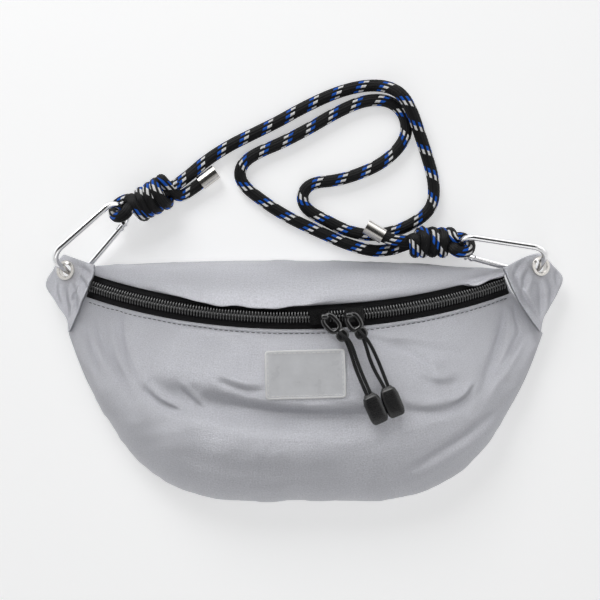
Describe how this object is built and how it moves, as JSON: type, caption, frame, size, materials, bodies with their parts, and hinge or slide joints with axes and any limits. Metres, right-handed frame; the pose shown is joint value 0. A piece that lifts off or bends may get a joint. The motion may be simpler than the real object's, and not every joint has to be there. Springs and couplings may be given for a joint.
{
  "type": "waist bag",
  "caption": "Curved nylon waist bag with an arched coil zip, corded zip pulls, eyelet tabs and a knotted rope strap on wire carabiners.",
  "frame": {"origin": "middle of the flat back panel's underside", "axes": "+X along the bag's width, +Y from the rounded bottom to the strap edge, +Z out of the front, away from the back panel"},
  "size_m": [0.3412, 0.2789, 0.0553],
  "materials": {
    "grey_nylon": "satin grey woven nylon",
    "lining_fabric": "thin woven lining",
    "zip_tape": "black woven zip tape",
    "zip_coil": "black nylon coil",
    "label_vinyl": "soft translucent vinyl with a plain face",
    "nickel": "bright nickel plate",
    "polished_steel": "polished steel wire",
    "black_metal": "black painted zinc",
    "black_plastic": "satin black plastic",
    "pull_cord": "thin black braid",
    "rope": "black braid with blue and white flecks"
  },
  "bodies": {
    "bag": {"back_panel": "grey_nylon", "back_lining": "lining_fabric", "front_panel": "grey_nylon", "top_panel": "grey_nylon", "front_lining": "lining_fabric", "top_lining": "lining_fabric", "zip_tape_front": "zip_tape", "zip_coil_front": "zip_coil", "zip_tape_rear": "zip_tape", "zip_coil_rear": "zip_coil", "label_patch": "label_vinyl", "left_tab": "grey_nylon", "left_eyelet": "nickel", "left_eyelet_washer": "nickel", "right_tab": "grey_nylon", "right_eyelet": "nickel", "right_eyelet_washer": "nickel", "rope_left_half": "rope", "rope_right_half": "rope"},
    "left_slider": {"left_slider": "black_metal"},
    "left_pull": {"left_pull_tab": "black_metal", "left_pull_cord": "pull_cord", "left_cord_end": "black_plastic"},
    "right_slider": {"right_slider": "black_metal"},
    "right_pull": {"right_pull_tab": "black_metal", "right_pull_cord": "pull_cord", "right_cord_end": "black_plastic"},
    "left_carabiner": {"left_carabiner_frame": "polished_steel", "left_gate_rivet": "polished_steel", "left_knot": "rope", "left_tail": "rope", "left_ferrule": "nickel"},
    "left_gate": {"left_gate": "polished_steel"},
    "right_carabiner": {"right_carabiner_frame": "polished_steel", "right_gate_rivet": "polished_steel", "right_knot": "rope", "right_tail": "rope", "right_ferrule": "nickel"},
    "right_gate": {"right_gate": "polished_steel"}
  },
  "joints": [
    {"name": "left_slider_travel", "type": "hinge", "parent": "bag", "child": "left_slider", "pos_m": [-0.008, 0.2105, -0.182], "axis": [0, 0.8, 0.6], "range_deg": [-24.5, 0]},
    {"name": "left_pull_swing", "type": "hinge", "parent": "left_slider", "child": "left_pull", "pos_m": [0.01184, 0.0429, 0.04631], "axis": [-0.9983, -0.0345, 0.0461], "range_deg": [0, 110]},
    {"name": "right_slider_travel", "type": "hinge", "parent": "bag", "child": "right_slider", "pos_m": [-0.008, 0.2105, -0.182], "axis": [0, 0.8, 0.6], "range_deg": [0, 17.5]},
    {"name": "right_pull_swing", "type": "hinge", "parent": "right_slider", "child": "right_pull", "pos_m": [0.02706, 0.04379, 0.04513], "axis": [-0.9907, -0.0814, 0.1086], "range_deg": [0, 110]},
    {"name": "left_carabiner_swing", "type": "hinge", "parent": "bag", "child": "left_carabiner", "pos_m": [-0.1558, 0.0726, 0.0145], "axis": [0, 0, 1], "range_deg": [-8, 30], "deforming": ["rope_left_half"]},
    {"name": "left_gate_open", "type": "hinge", "parent": "left_carabiner", "child": "left_gate", "pos_m": [-0.12159, 0.10068, 0.00881], "axis": [-0.547, 0.5363, -0.6427], "range_deg": [0, 25], "stiffness_Nm_per_rad": 0.02, "springref_deg": -14.32},
    {"name": "right_carabiner_swing", "type": "hinge", "parent": "bag", "child": "right_carabiner", "pos_m": [0.1526, 0.0753, 0.0145], "axis": [0, 0, 1], "range_deg": [-40, 0], "deforming": ["rope_right_half"]},
    {"name": "right_gate_open", "type": "hinge", "parent": "right_carabiner", "child": "right_gate", "pos_m": [0.10887, 0.08121, 0.00959], "axis": [-0.1725, -0.8109, 0.5591], "range_deg": [0, 14], "stiffness_Nm_per_rad": 0.02, "springref_deg": -14.32}
  ]
}
